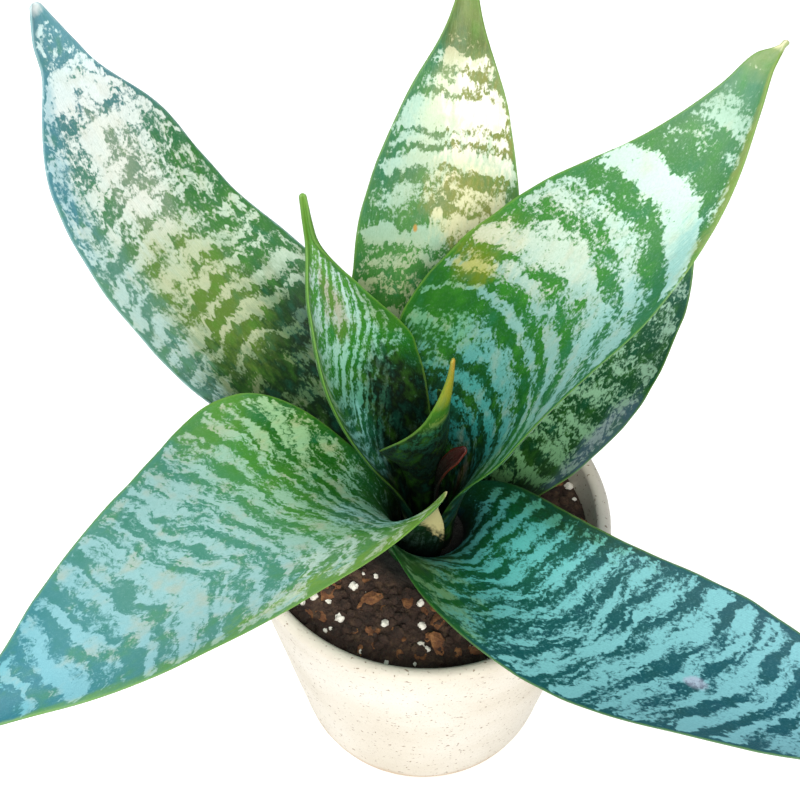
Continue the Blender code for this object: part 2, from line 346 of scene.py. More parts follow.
topRight = {
    "name": "leaf_top_right", "ring": 2, "length": 164, "lopsided": 0.04, "seed": 4,
    "vein": "#3c9418", "ripple": 0.8, "teeth": 6, "blush": 0.7,
    "heading": (32, 20, 48), "pitch": (89, 72, 55, 44, 41), "roll": (0, 5, 11, 1),
    "cup": (76, 54, 36, 37), "halfWidth": (14.5, 17.5, 32, 28, 16, 6.5, 0.8),
    "sway": ((0, 0), (0.78, 0), (0.9, 1.2), (0.95, 1.7), (1, 0)), "knob": 0.95,
    "plus": ((0, 0), (0.9, 0), (0.965, 0.5), (0.985, -0.5), (1, 0)),
    "minus": ((0, 0), (0.9, 0), (0.965, -0.2), (0.985, -0.5), (1, 0)),
    "bands": [
        (0, 0.2), (0.17, 0.3), (0.205, 0.62), (0.225, 0.25), (0.25, 0.66), (0.272, 0.2), (0.3, 0.68),
        (0.32, 0.22), (0.348, 0.72), (0.38, 0.5), (0.402, 0.1), (0.423, 0.75), (0.447, 0.15),
        (0.475, 0.85), (0.508, 0.25), (0.545, 0.8), (0.565, 0.72), (0.595, 0.35), (0.64, 0.62),
        (0.67, 0.5), (0.712, 0.2), (0.735, 0.95), (0.768, 0.9), (0.787, 0.15), (0.807, 0.2), (0.82, 0.5),
        (0.837, 0.25), (0.857, 0.55), (0.885, 0.5), (0.91, 0.22), (1, 0.1),
    ],
    "lean": [(0, -0.16), (0.25, -0.05), (0.5, 0), (0.8, 0), (1, -0.05)],
    "greens": [
        (0, "#010402"), (0.18, "#041a0a"), (0.27, "#04340e"), (0.36, "#065111"), (0.48, "#207018"),
        (0.62, "#388239"), (0.8, "#448248"), (0.92, "#518a62"), (1, "#93a45c"),
    ],
    "pales": [
        (0, "#03100c"), (0.18, "#0f5751"), (0.27, "#359890"), (0.36, "#63a8a1"), (0.48, "#8db8ae"),
        (0.62, "#bcdcd0"), (0.76, "#d3f3e2"), (0.92, "#9dc3aa"), (1, "#e8e6b8"),
    ],
    "patches": [
        # painted sunlight: the next two patches, a cream and a yellow spot where the sun falls
        {"at": (0.86, 0.5), "reach": (0.3, 0.07), "pale": "#e2dcb4", "green": "#6c8c1a", "share": 0.7},
        {"at": (0.78, 0.455), "reach": (0.24, 0.05), "pale": "#b6ba66", "green": "#6c820c",
         "share": 0.95, "soft": 0.8},
        {"at": (0.85, 0.35), "reach": (0.5, 0.09), "pale": "#6fae7c", "green": "#1c6a10",
         "share": 0.85, "fewer": 0.15},
        {"at": (0.55, 0.56), "reach": (0.6, 0.1), "pale": "#e4efda", "green": "#3f8630", "share": 0.5},
        {"at": (-0.75, 0.55), "reach": (0.5, 0.25), "pale": "#92c8c2", "green": "#1d6c40",
         "share": 0.85},
        {"at": (-1.0, 0.86), "reach": (0.25, 0.2), "pale": "#a9bd86", "green": "#8b9d54", "share": 0.9},
        {"at": (-0.9, 0.3), "reach": (0.4, 0.13), "pale": "#7fbc90", "green": "#237428", "share": 0.8},
        {"at": (-0.25, 0.15), "reach": (0.12, 0.06), "pale": "#7a5a44", "green": "#44260c",
         "share": 0.6},
        {"at": (0.0, 0.995), "reach": (3.0, 0.014), "pale": "#fffbe0", "green": "#f3eec2", "share": 1.0},
    ],
}

lowLeft = {
    "name": "leaf_low_left", "ring": 3, "length": 160, "lopsided": 0.03, "seed": 5,
    "speckle": 0.8, "ripple": 1.4, "teeth": 6, "blush": 1.0,
    "heading": (216, 229, 215), "pitch": (90, 48, 29, 10, -9), "roll": (0, 8, -2, -5),
    "cup": (79, 44, 30, 24), "halfWidth": (12, 18.5, 40, 29.5, 19, 8, 0.8),
    "bands": [
        (0, 0.3), (0.165, 0.6), (0.185, 0.22), (0.205, 0.64), (0.225, 0.25), (0.245, 0.64),
        (0.265, 0.25), (0.29, 0.66), (0.315, 0.28), (0.345, 0.7), (0.38, 0.36), (0.415, 0.72),
        (0.445, 0.45), (0.47, 0.68), (0.495, 0.33), (0.52, 0.68), (0.545, 0.32), (0.57, 0.68),
        (0.595, 0.32), (0.62, 0.68), (0.645, 0.78), (0.668, 0.6), (0.69, 0.15), (0.715, 0.8),
        (0.745, 0.15), (0.775, 0.72), (0.8, 0.28), (0.838, 0.85), (0.866, 0.15), (0.895, 0.8),
        (0.925, 0.15), (1, 0.15),
    ],
    "lean": [(0, 0.17), (0.35, 0.05), (0.55, 0), (0.75, 0.05), (1, 0.2)],
    # the stops at 0.05 and 0.11 are brightened: painted light against the shadow deep in the funnel
    "greens": [
        (0, "#020804"), (0.05, "#0c3618"), (0.11, "#2c7d2f"), (0.24, "#196413"), (0.36, "#4b9438"),
        (0.5, "#4d957e"), (0.7, "#4d8c81"), (0.85, "#327e8b"), (0.93, "#1e7282"), (1, "#2f8a94"),
    ],
    "pales": [
        (0, "#0c2a24"), (0.05, "#418d7d"), (0.11, "#aef7d7"), (0.24, "#84b890"), (0.36, "#a6d4b4"),
        (0.5, "#a8d5d1"), (0.7, "#91c1c4"), (0.85, "#7ab8c4"), (0.93, "#65b1be"), (1, "#80c8d0"),
    ],
    "patches": [
        {"at": (-0.9, 0.27), "reach": (0.5, 0.1), "pale": "#9cc890", "green": "#165c08", "share": 0.8},
        {"at": (-0.95, 0.4), "reach": (0.3, 0.09), "pale": "#b6cfae", "green": "#5f9a40", "share": 0.7},
        {"at": (1.0, 0.4), "reach": (0.4, 0.28), "pale": "#e0f0d0", "green": "#7fac34",
         "share": 0.9, "fewer": 0.15},
        {"at": (1.0, 0.75), "reach": (0.18, 0.3), "pale": "#a3bf9a", "green": "#5f944e", "share": 0.8},
        {"at": (0.25, 0.24), "reach": (0.45, 0.1), "pale": "#a4dcd4", "green": "#3a7a5a", "share": 0.8},
        {"at": (0.55, 0.42), "reach": (0.25, 0.1), "pale": "#d8f0e0", "green": "#5f9a50", "share": 0.7},
    ],
    # root: painted shade on the foot of the outer face, deep in the funnel
    "underside": {"at": (1.0, 0.2), "reach": (0.32, 0.14), "colour": "#fff2b0"}, "root": "#020c08",
}

lowRight = {
    "name": "leaf_low_right", "ring": 4, "length": 166, "lopsided": -0.1, "seed": 6,
    "speckle": 0.8, "ripple": 1.2, "teeth": 5, "vein": "#064a44", "cool": "#063e52",
    "heading": (-56, -45, -35), "pitch": (83, 24, 26, 22, 11), "roll": (0, 8, -5, -19),
    "cup": (49, 23, 27, 35), "halfWidth": (22, 24.5, 23.5, 23, 17, 7, 0.8),
    "bands": [
        (0.035, 0.15), (0.055, 0.85), (0.075, 0.1), (0.095, 0.8), (0.115, 0.15), (0.135, 0.75),
        (0.155, 0.2), (0.18, 0.72), (0.205, 0.25), (0.23, 0.68), (0.26, 0.3), (0.29, 0.64),
        (0.315, 0.35), (0.345, 0.66), (0.375, 0.34), (0.41, 0.64), (0.44, 0.32), (0.475, 0.7),
        (0.5, 0.3), (0.525, 0.6), (0.55, 0.74), (0.572, 0.25), (0.605, 0.74), (0.625, 0.3),
        (0.652, 0.76), (0.672, 0.25), (0.7, 0.8), (0.72, 0.2), (0.742, 0.78), (0.766, 0.2), (0.8, 0.72),
        (1, 0.3),
    ],
    "lean": [(0, -0.16), (0.3, -0.07), (0.45, 0), (0.65, 0), (1, 0.06)], "leanEnd": 1.1,
    # dark blue-green colours: the leaf's own colour with painted shade and a painted bluish cast of sky light
    "greens": [
        (0, "#010603"), (0.05, "#032f11"), (0.16, "#066030"), (0.35, "#035252"), (0.6, "#03525c"),
        (1, "#045868"),
    ],
    "pales": [
        (0, "#0e3932"), (0.06, "#53aead"), (0.2, "#63cbc5"), (0.38, "#7cc4c6"), (0.8, "#80c0ca"),
        (1, "#8bbec4"),
    ],
    "patches": [
        {"at": (-1.0, 0.12), "reach": (0.75, 0.2), "pale": "#84b470", "green": "#1a6a18", "share": 0.9},
        {"at": (-0.16, 0.615), "reach": (0.09, 0.02), "pale": "#b4bfd4", "green": "#8a93a8",
         "share": 0.8},
        {"at": (1.0, 0.2), "reach": (0.3, 0.25), "pale": "#4f9a78", "green": "#0b3a14", "share": 0.8},
    ],
}

topBack = {
    "name": "leaf_top_back", "ring": 5, "length": 150, "lopsided": 0.04, "seed": 2, "blush": 0.4,
    "heading": (89, 80, 83), "pitch": (89, 68, 60, 53, 47), "roll": (0, -8, -1, 4),
    "cup": (48, 37, 31, 31), "halfWidth": (17.5, 19, 22.5, 22, 14.5, 4.5, 0.8),
    "bands": [
        (0, 0.2), (0.2, 0.3), (0.36, 0.4), (0.4, 0.55), (0.43, 0.3), (0.46, 0.6), (0.483, 0.25),
        (0.503, 0.55), (0.523, 0.25), (0.545, 0.72), (0.567, 0.8), (0.585, 0.25), (0.605, 0.55),
        (0.625, 0.66), (0.652, 0.25), (0.673, 0.9), (0.69, 0.85), (0.702, 0.3), (0.715, 0.75),
        (0.727, 0.35), (0.743, 0.9), (0.768, 0.95), (0.782, 0.3), (0.798, 0.85), (0.812, 0.35),
        (0.83, 0.8), (0.845, 0.65), (0.862, 0.2), (0.9, 0.1), (1, 0.05),
    ],
    "lean": [(0, -0.02), (0.5, 0.01), (1, -0.03)],
    "greens": [
        (0, "#020a04"), (0.3, "#1a4a18"), (0.45, "#206e19"), (0.56, "#377d30"), (0.7, "#568048"),
        (0.8, "#79975d"), (0.87, "#576c2d"), (1, "#596e2a"),
    ],
    "pales": [
        (0, "#1c3a30"), (0.3, "#7f9f78"), (0.45, "#9fb181"), (0.56, "#a0c7ad"), (0.7, "#c8dfc3"),
        (0.8, "#e4f0cf"), (0.87, "#bebd92"), (1, "#979f6e"),
    ],
    "patches": [
        # painted sunlight: the next two patches, a white and a cream spot where the sun falls
        {"at": (-0.45, 0.75), "reach": (1.0, 0.16), "pale": "#ffffee", "green": "#8a8f4a",
         "share": 0.95, "soft": 0.7},
        {"at": (-0.3, 0.6), "reach": (0.7, 0.1), "pale": "#f2e8b4", "green": "#98964c", "share": 0.7},
        {"at": (0.9, 0.74), "reach": (0.45, 0.2), "pale": "#b8e0d0", "green": "#2f7c50",
         "share": 0.9, "fewer": 0.12},
        {"at": (0.0, 0.95), "reach": (1.5, 0.09), "pale": "#a6ae78", "green": "#748a44", "share": 0.9},
        {"at": (0.33, 0.55), "reach": (0.035, 0.008), "pale": "#b9903a", "green": "#b9903a",
         "share": 1.0},
    ],
}

topLeft = {
    "name": "leaf_top_left", "ring": 6, "length": 167, "lopsided": 0.08, "seed": 1,
    # its margin line's colour is a painted highlight, bluish white
    "speckle": 1.0, "blotch": 0.9, "streak": 0.9, "teeth": 8, "blush": 0.5, "edge": "#a9c9cc",
    "heading": (141, 148, 127), "pitch": (88, 39, 39, 55, 59), "roll": (0, 0, 2, 10),
    "cup": (60, 20, 8, 24), "halfWidth": (16, 22, 30, 26.5, 21, 7.5, 0.8),
    "plus": ((0, 0), (0.85, 0), (0.9, -0.7), (0.955, 1.4), (0.985, 1.1), (1, 0.6)),
    "minus": ((0, 0), (0.88, 0), (0.93, 0.5), (0.985, 0.5), (1, 0.4)),
    "bands": [
        (0, 0.1), (0.2, 0.2), (0.27, 0.5), (0.3, 0.25), (0.33, 0.55), (0.36, 0.2), (0.385, 0.66),
        (0.408, 0.15), (0.43, 0.7), (0.45, 0.18), (0.472, 0.78), (0.493, 0.22), (0.515, 0.76),
        (0.533, 0.25), (0.557, 0.8), (0.58, 0.3), (0.605, 0.7), (0.627, 0.32), (0.65, 0.66),
        (0.69, 0.42), (0.72, 0.56), (0.75, 0.42), (0.79, 0.58), (0.83, 0.5), (0.868, 0.82), (0.893, 0.7),
        (0.912, 0.3), (0.94, 0.35), (0.955, 0.6), (0.972, 0.15), (1, 0.1),
    ],
    "lean": [(0, -0.05), (0.5, 0), (1, -0.02)],
    # towards the tip the leaf's own pale bands take a bluish-white cast: painted sky reflection
    "greens": [
        (0, "#010603"), (0.22, "#032205"), (0.33, "#072e05"), (0.43, "#10460c"), (0.54, "#5a8744"),
        (0.7, "#528965"), (0.84, "#50878f"), (0.93, "#609aa8"), (1, "#609aa8"),
    ],
    "pales": [
        (0, "#12302c"), (0.22, "#4f7a55"), (0.33, "#628450"), (0.43, "#7f9e7b"), (0.54, "#b5cdb1"),
        (0.66, "#e6f6ea"), (0.85, "#f2fdfb"), (0.93, "#e3ffff"), (1, "#e3ffff"),
    ],
    "patches": [
        {"at": (0.1, 0.5), "reach": (0.6, 0.16), "pale": "#ccd5ac", "green": "#6a8a34", "share": 0.75},
        {"at": (-0.9, 0.56), "reach": (0.6, 0.24), "pale": "#cfe6cf", "green": "#2f7434",
         "share": 0.85, "fewer": 0.06},
        {"at": (-0.8, 0.3), "reach": (0.8, 0.1), "pale": "#3c6a5c", "green": "#04200c", "share": 0.9},
        # painted sky reflection: the next two patches, bluish
        {"at": (0.85, 0.6), "reach": (0.4, 0.3), "pale": "#bfe0dc", "green": "#5f9484", "share": 0.85},
        {"at": (0.9, 0.8), "reach": (0.35, 0.16), "pale": "#b9dfe8", "green": "#4f8fa0", "share": 0.9},
        {"at": (-0.1, 0.72), "reach": (0.4, 0.12), "pale": "#f6fbf0", "green": "#8ea58a", "share": 0.8},
        # painted highlight: a white band along the tip
        {"at": (0.4, 1.0), "reach": (1.6, 0.018), "pale": "#ffffff", "green": "#eef6f8", "share": 1.0},
    ],
}

backRight = {
    "name": "leaf_back_right", "ring": 7, "length": 108, "lopsided": 0, "seed": 7,
    "heading": (29, 40, 44), "pitch": (88, 53, 45, 38, 30), "roll": (0, 3, -1, -1),
    "cup": (50, 30, 29, 32), "halfWidth": (18, 17.5, 23, 24.5, 19, 8, 0.8),
    "bands": [
        (0, 0.2), (0.12, 0.25), (0.16, 0.7), (0.2, 0.2), (0.235, 0.7), (0.26, 0.2), (0.3, 0.6),
        (0.36, 0.38), (0.4, 0.55), (0.46, 0.38), (0.5, 0.55), (0.55, 0.32), (0.6, 0.52), (0.66, 0.32),
        (0.7, 0.56), (0.75, 0.3), (0.8, 0.5), (0.86, 0.25), (1, 0.15),
    ],
    "lean": [(0, 0.02), (0.5, 0), (1, 0.02)],
    # dark colours: the leaf's own green, darkened by painted shade, as this low outer leaf lies in shade
    "greens": [(0, "#010402"), (0.2, "#023004"), (0.35, "#044612"), (0.6, "#08512a"), (1, "#1c5a4c")],
    "pales": [(0, "#1a2c22"), (0.2, "#6eac6d"), (0.4, "#95cfa1"), (0.7, "#addcbf"), (1, "#9ab4ac")],
    "patches": [
        # painted sheen: a bluish spot along the margin
        {"at": (-0.9, 0.42), "reach": (0.24, 0.16), "pale": "#a9c0c4", "green": "#4f7184", "share": 0.9},
    ],
}

youngCurled = {
    "name": "leaf_young_curled", "ring": 1, "length": 108, "lopsided": 0, "seed": 3, "leanEnd": 0.25,
    "speckle": 0.8, "ripple": 0.8, "teeth": 5, "blush": 0.5,
    "plus": ((0, 0), (0.8, 0), (0.88, 0.4), (0.94, 0.3), (1, 0)),
    "minus": ((0, 0), (0.78, 0), (0.88, 1.6), (0.94, 1.1), (0.98, 0.3), (1, 0)),
    "heading": (150, 143, 105), "pitch": (91, 69, 67, 67, 68), "roll": (0, -9, -2, 1),
    "cup": (88, 67, 70, 81), "halfWidth": (9.5, 9.5, 15.5, 18.5, 10, 1.2, 0.8),
    "bands": [
        (0, 0.3), (0.2, 0.3), (0.24, 0.6), (0.265, 0.25), (0.29, 0.6), (0.315, 0.25), (0.34, 0.65),
        (0.365, 0.25), (0.39, 0.68), (0.415, 0.3), (0.44, 0.68), (0.47, 0.25), (0.5, 0.7), (0.53, 0.3),
        (0.56, 0.7), (0.595, 0.3), (0.63, 0.66), (0.665, 0.3), (0.7, 0.6), (0.75, 0.35), (0.8, 0.45),
        (0.87, 0.2), (1, 0.1),
    ],
    "lean": [(0, 0.4), (0.25, 0.26), (0.5, 0.1), (0.7, 0), (0.85, 0.03), (1, 0.12)],
    "greens": [
        (0, "#010402"), (0.3, "#031206"), (0.44, "#011902"), (0.58, "#28801a"), (0.74, "#4a9b37"),
        (0.88, "#60a03c"), (1, "#6fa238"),
    ],
    "pales": [
        (0, "#0c1c1a"), (0.3, "#1c4a3c"), (0.44, "#3d9576"), (0.58, "#a0ddc6"), (0.74, "#cef2ee"),
        (0.88, "#ddf4ea"), (1, "#a4c478"),
    ],
    "patches": [
        {"at": (0.95, 0.62), "reach": (0.4, 0.3), "pale": "#b4d8a0", "green": "#5f9c34", "share": 0.9},
        {"at": (0.6, 0.38), "reach": (0.6, 0.14), "pale": "#94dcd4", "green": "#1a6840", "share": 0.9},
        # painted shade: a near-black spot inside the curl
        {"at": (-0.45, 0.42), "reach": (0.5, 0.16), "pale": "#1e4c36", "green": "#021205",
         "share": 0.95},
        {"at": (-0.8, 0.66), "reach": (0.3, 0.1), "pale": "#a8cc98", "green": "#3c8420", "share": 0.8},
        {"at": (-0.1, 0.72), "reach": (0.3, 0.12), "pale": "#bcae92", "green": "#6a8a3c", "share": 0.7},
    ],
}

newest = {
    "name": "leaf_newest", "ring": 0, "length": 84, "lopsided": -0.06, "seed": 8, "back": 0,
    "heading": (-72, -60, -40), "pitch": (93, 89, 79, 81, 89), "roll": (0, 7, 25, 21),
    "cup": (115, 84, 58, 58), "halfWidth": (4, 6, 9.5, 15.5, 6, 2, 0.8), "thickness": (1.3, 1.4, 1.1, 0.9),
    "bands": [
        (0, 0.2), (0.4, 0.3), (0.45, 0.5), (0.475, 0.3), (0.5, 0.55), (0.525, 0.3), (0.55, 0.6),
        (0.575, 0.3), (0.6, 0.6), (0.625, 0.3), (0.65, 0.55), (0.675, 0.3), (0.7, 0.5), (0.74, 0.2),
        (1, 0.1),
    ],
    "lean": [(0, 0.05), (0.5, 0), (1, 0.05)],
    # near black up to 0.7 of the length: painted shade of the outer face in the throat; then the yellow tip
    "greens": [
        (0, "#010201"), (0.5, "#010302"), (0.6, "#000500"), (0.7, "#022002"), (0.78, "#3f7a18"),
        (0.84, "#9ea71e"), (0.93, "#b0a42c"), (1, "#c79a34"),
    ],
    "pales": [
        (0, "#020806"), (0.5, "#0a2a1e"), (0.6, "#0e3c30"), (0.7, "#286a48"), (0.78, "#8fa838"),
        (0.84, "#b0a834"), (1, "#d0b048"),
    ],
    "patches": [],
}

# The leaves' colours are written as strong light shows them, and dimmed to what the skin itself reflects
leafFinish = {
    "dim": 0.62, "roughness": 0.45, "specular": 0.3, "relief": 0.00012, "seedStep": 7.3,
    "driftReach": 13, "frayReach": 2.5, "veinShare": 0.35, "coolShare": 0.3,
    "blushColour": "#c9b48c", "backGreen": "#3f7042", "backPale": "#93b58c",
}
# what a leaf has where its own dictionary doesn't say
leafUsual = {
    "teeth": 8, "ripple": 1.1, "speckle": 1.1, "blotch": 0.9, "streak": 0, "blush": 0, "back": 1,
    "leanEnd": 0.6, "edge": "#6f9a3a", "vein": "#4d9428", "cool": "#1f7a60",
}
# noise of the skin: width and length of a lump in millimetres, step of its seed, detail, roughness
leafNoise = {
    "drift": (16, 26, 0, 2, 0.5), "teeth": (2.6, 8, 20, 2.5, 0.55), "fray": (0.8, 2.6, 40, 2, 0.5),
    "ripple": (7, 1.9, 50, 2, 0.6), "speckle": (0.9, 1.2, 60, 2.5, 0.6), "mottle": (0.45, 0.7, 65, 2, 0.6),
    "blotch": (9, 4.5, 80, 2, 0.5), "tone": (3.5, 6, 90, 3, 0.5), "grain": (0.28, 5, 30, 2, 0.5),
    "pores": (0.25, 0.25, 35, 1, 0.5),
}


def leafSurface(leaf, rows, columns):
    # Midrib: running sum of the direction that heading and pitch give. Section: an arc through twice the cup
    # angle, on a circle of radius halfWidth / cup, hollow on the plant's inner side. Skin: half the local
    # thickness to each side of it along the arc's own normal, round at the margins and at the tip.
    fine = np.linspace(0, 1, leafBuild["midribSteps"] + 1)
    heading = np.radians(easeThrough(headingAt, leaf["heading"], fine))
    pitch = np.radians(easeThrough(pitchAt, leaf["pitch"], fine))
    roll = np.radians(easeThrough(rollAt, leaf["roll"], fine))[:, None]
    level = np.cos(pitch)
    forward = np.stack([level * np.cos(heading), level * np.sin(heading), np.sin(pitch)], -1)
    ring = (leafBuild["firstRing"] + leafBuild["ringStep"] * leaf["ring"]) * mm
    height = soilLevel + (leafBuild["topRing"] - leafBuild["ringDrop"] * leaf["ring"]) * mm
    base = np.array([ring * math.cos(heading[0]), ring * math.sin(heading[0]), height])
    steps = (forward[1:] + forward[:-1]) / 2 * leaf["length"] * mm / (len(fine) - 1)
    midrib = np.vstack([base, base + np.cumsum(steps, axis=0)])
    side = np.stack([-np.sin(heading), np.cos(heading), 0 * heading], -1)
    side = side * np.cos(roll) + np.cross(forward, side) * np.sin(roll)
    inward = np.cross(forward, side)
    midrib = midrib + side * curveOf(leaf, "sway", fine)[:, None] * mm

    knob = leaf.get("knob", leafBuild["knob"])
    tipShare = knob / leaf["length"]     # the last stretch is a round cap
    capRows = leafBuild["capRows"]
    along = np.linspace(0, 1, rows - capRows) ** leafBuild["rowCrowding"] * (1 - tipShare)
    cap = np.sin(np.linspace(0, np.pi / 2, capRows + 1)[1:])
    along = np.concatenate([along, 1 - tipShare + tipShare * cap])
    shrink = np.sqrt(np.clip(1 - np.clip((along - 1 + tipShare) / tipShare, 0, 0.995) ** 2, 0, 1))
    turn = np.linspace(0, 2 * np.pi, columns, endpoint=False)
    across, face = np.cos(turn)[None], np.sign(np.sin(turn))[None]

    def at(curve):
        return np.stack([np.interp(along, fine, curve[:, axis]) for axis in range(3)], -1)[:, None]

    def marginLine(shift, waves, first):
        # each margin wanders along a line of its own
        plusLine = unevenLine(along, leaf["seed"] + shift, waves, first)[:, None]
        minusLine = unevenLine(along, leaf["seed"] + shift + 50, waves, first)[:, None]
        return np.where(across > 0, plusLine, minusLine)

    end = fade(along, 1 - 2.6 * tipShare, 1 - 1.1 * tipShare) if "knob" in leaf else 0 * along
    width = easeThrough(widthAt, leaf["halfWidth"], along)
    width = (width + (knob - width) * end) * mm
    baseCup = math.degrees(leaf["halfWidth"][0] * mm / ring)
    cup = np.radians(easeThrough(cupAt, (baseCup,) + leaf["cup"], along))[:, None]
    uneven = leaf["lopsided"]
    extra = easeThrough((0, 0.12, 0.5, 1), (0, uneven, uneven / 2, 0), along)[:, None]
    free = (fade(along, 0.25, 0.5) * fade(1 - along, 0.02, 0.15))[:, None]      # where margins may wander
    ragged = leafBuild["raggedness"] * free * marginLine(0, 12, 3)
    plusWidth, minusWidth = curveOf(leaf, "plus", along)[:, None], curveOf(leaf, "minus", along)[:, None]
    more = np.where(across > 0, plusWidth, minusWidth)
    bend = cup * across * (1 + extra * np.sign(across) + ragged + more * mm / width[:, None])
    radius = width[:, None] / cup * shrink[:, None]
    thickness = easeThrough(thickAt, leaf.get("thickness", leafBuild["thickness"]), along)[:, None] * mm
    thickness = thickness + (leafBuild["knobThickness"] * knob * mm - thickness) * end[:, None]
    margin = leafBuild["marginThickness"] * mm
    local = margin + (thickness - margin) * (1 - np.abs(across) ** leafBuild["fullness"])
    rounding = np.sqrt(np.clip(1 - np.abs(across) ** leafBuild["marginRound"], 0, 1)) * shrink[:, None]
    lift = face * local / 2 * rounding
    lift = lift + leafBuild["wave"] * mm * free * np.abs(across) ** 3 * marginLine(20, 4, 1)
    normal = -np.sin(bend)[..., None] * at(side) + np.cos(bend)[..., None] * at(inward)
    sideways, inwards = radius * np.sin(bend), radius * (1 - np.cos(bend))
    arc = sideways[..., None] * at(side) + inwards[..., None] * at(inward)
    points = at(midrib) + arc + lift[..., None] * normal

    spread = along[:, None] + 0 * across
    out = 0 * spread
    halfWidth = width[:, None] + out
    place = np.stack([across + out, spread, np.sin(turn)[None] + out], -1)
    inset = (1 - np.abs(across)) * halfWidth / mm
    size = np.stack([across * halfWidth / mm, spread * leaf["length"], inset], -1)
    return points, place, size


def curveOf(leaf, key, where):
    # one of the leaf's own (along, mm) curves, or none of it
    stations, values = zip(*leaf.get(key, leafBuild["level"]))
    return easeThrough(stations, values, where)


def leafPaint(leaf):
    # place = (across -1..1, along 0..1, face); size = millimetres across, along and in from the margin
    leaf = {**leafUsual, **leaf}
    paint = Paint(leaf["name"] + "_skin", Specular_IOR_Level=leafFinish["specular"])
    across, along, face = paint.split(paint.attribute("place"))
    x, y, inset = paint.split(paint.attribute("size"))
    seed = leaf["seed"] * leafFinish["seedStep"]

    def shade(code):
        return tint(code, leafFinish["dim"])

    def noiseOf(name, lengthwise=y):
        wide, long, shift, detail, rough = leafNoise[name]
        return paint.noise(paint.vector(x / wide, lengthwise / long, seed + shift), detail, rough)

    def distance(patch, uneven):
        # squared distance from the patch's middle in units of its reach, made uneven
        (px, py), (rx, ry) = patch["at"], patch["reach"]
        dx, dy = (across - px) / rx, (along - py) / ry
        return dx * dx + dy * dy + uneven

    drift, teeth, fray = noiseOf("drift"), noiseOf("teeth"), noiseOf("fray")
    speckle, mottle, blotch = noiseOf("speckle"), noiseOf("mottle"), noiseOf("blotch")
    lean = paint.curve(across * 0.5 + 0.5, leaf["lean"]) * paint.step(1 - along, 0, leaf["leanEnd"])
    shift = drift * leafFinish["driftReach"] + teeth * leaf["teeth"] + fray * leafFinish["frayReach"]
    bias = paint.curve(along - lean + shift / leaf["length"], leaf["bands"])
    ripple = noiseOf("ripple", y - lean * leaf["length"] + shift * 1.2) * leaf["ripple"]
    rim = 1 - paint.step(inset + fray * 3, 0.3, 1.9)
    value = bias + ripple + speckle * leaf["speckle"] + blotch * leaf["blotch"]
    value = value + teeth * leaf["streak"] - rim * 0.5

    # every leaf's colour ramps run to near black at its foot: painted shade of the throat
    greenColour = paint.colours(along + blotch * 0.05, leaf["greens"], leafFinish["dim"])
    paleColour = paint.colours(along + blotch * 0.05, leaf["pales"], leafFinish["dim"])
    uneven = teeth * 1.8 + drift * 0.6 + fray * 0.8 + speckle * 0.5
    for patch in leaf["patches"]:
        inside = (1 - paint.step(distance(patch, uneven), 0, patch.get("soft", 1.2))) * patch["share"]
        greenColour = paint.mix(inside, greenColour, shade(patch["green"]))
        paleColour = paint.mix(inside, paleColour, shade(patch["pale"]))
        if "fewer" in patch:
            value = value - inside * patch["fewer"]
    pale = paint.step(value + mottle * 0.25, 0.34, 0.66)
    tone = noiseOf("tone")
    veined = paint.step(tone, -0.05, 0.25) * leafFinish["veinShare"]
    cool = paint.step(0 - tone, 0, 0.25) * leafFinish["coolShare"]
    greenColour = paint.mix(cool, greenColour, shade(leaf["cool"]))
    greenColour = paint.mix(veined, greenColour, shade(leaf["vein"]))
    paleColour = paint.mix(veined * leaf["blush"], paleColour, shade(leafFinish["blushColour"]))
    back = paint.step(0 - face, -0.05, 0.1) * leaf["back"] * paint.step(along, 0.2, 0.4)
    greenColour = paint.mix(back * 0.35, greenColour, shade(leafFinish["backGreen"]))
    paleColour = paint.mix(back * 0.25, paleColour, shade(leafFinish["backPale"]))
    colour = paint.mix(pale * 0.94 + mottle * 0.45, greenColour, paleColour)
    # a thin line along the margin in the leaf's margin colour; on the top-left leaf it is a painted highlight
    line = (1 - paint.step(inset + fray * 0.6, 0.15, 0.6)) * 0.5 * paint.step(along, 0.1, 0.3)
    colour = paint.mix(line, colour, shade(leaf["edge"]))
    if "underside" in leaf:
        # the outer face near the foot: painted shade at its root, and the bright spot by the raised margin
        bright = 1 - paint.step(distance(leaf["underside"], fray), 0.5, 1.1)
        bright = bright * paint.step(0 - face, -0.3, 0)
        root = paint.step(0 - face, -0.3, 0.1) * (1 - paint.step(along, 0.12, 0.22)) * 0.9
        colour = paint.mix(root, colour, shade(leaf["root"]))
        colour = paint.mix(bright, colour, shade(leaf["underside"]["colour"]))

    height = noiseOf("grain") * 0.7 + noiseOf("pores") * 0.35 + pale * 0.06 + tone * 0.8
    rough = leafFinish["roughness"] + speckle * 0.16 + pale * 0.06
    normal = paint.relief(height, leafFinish["relief"], 0.8)
    return paint.finish(Base_Color=colour, Roughness=rough, Normal=normal)


for leaf in (topRight, lowLeft, lowRight, topBack, topLeft, backRight, youngCurled, newest):
    points, place, size = leafSurface(leaf, leafBuild["rows"], leafBuild["columns"])
    mesh = skinOverGrid(leaf["name"] + "_blade", points, {"place": place, "size": size})
    addPiece(mesh, leafPaint(leaf), "banded_leaf", leaf["name"])
print("eight leaves made")


# Red scale between the newest leaf and the large one

redScale = {
    "name": "scale_leaf", "ring": 1, "length": 49, "lopsided": 0, "seed": 9, "rows": 80, "columns": 40,
    "heading": (-61, -42, -9), "pitch": (87, 87, 90, 75, 51), "roll": (0, 40, 48, 40),
    "cup": (40, 45, 40, 30), "halfWidth": (1.3, 1.3, 1.3, 1.4, 1.9, 2, 0.8),
    "thickness": (0.9, 0.9, 0.9, 0.8),
    "colours": [(0, "#010000"), (0.6, "#080101"), (0.78, "#160101"), (1, "#300303")], "margin": "#4a1206",
}


